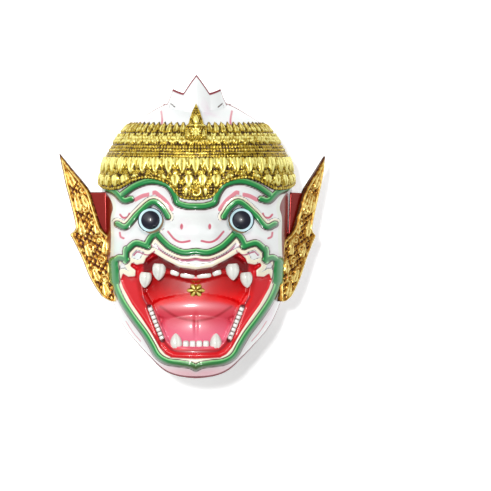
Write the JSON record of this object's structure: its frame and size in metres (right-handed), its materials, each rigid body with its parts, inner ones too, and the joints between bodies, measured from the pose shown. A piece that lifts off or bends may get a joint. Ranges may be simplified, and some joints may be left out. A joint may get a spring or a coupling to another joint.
{
  "type": "khon mask",
  "caption": "Full-head painted papier-mache khon mask with a white monkey face, open mouth, fangs, gilt diadem and gilt flame-shaped ear ornaments.",
  "frame": {"origin": "on the surface it lies on, in the flat spot at the back of the head, under the middle line of the face and half way between the chin and the crest's tip", "axes": "+Y from the chin to the crest, +Z out of the face, +X to the viewer's right; the mask lies face up"},
  "size_m": [0.2843, 0.32, 0.2238],
  "materials": {
    "white_lacquer": "glossy painted lacquer: white ground with green, pink, red and cream lines",
    "gilding": "gold leaf on moulded lacquer, with dark recesses",
    "dark_gilding": "worn gold leaf on pierced leather over dark red",
    "eye_glaze": "high gloss, blue-black with a pale ring",
    "pearl": "glossy off-white"
  },
  "bodies": {
    "root": {"head_shell": "white_lacquer", "diadem": "gilding", "ear_ornament_left": "dark_gilding", "ear_ornament_right": "dark_gilding", "eye_left": "eye_glaze", "eye_right": "eye_glaze", "palate_ornament": "gilding", "upper_teeth": "pearl", "lower_incisors": "pearl", "upper_fang_inner_left": "pearl", "upper_fang_inner_right": "pearl", "upper_fang_outer_left": "pearl", "upper_fang_outer_right": "pearl", "lower_fang_left": "pearl", "lower_fang_right": "pearl", "lower_side_teeth_left": "pearl", "lower_side_teeth_right": "pearl"}
  },
  "joints": []
}
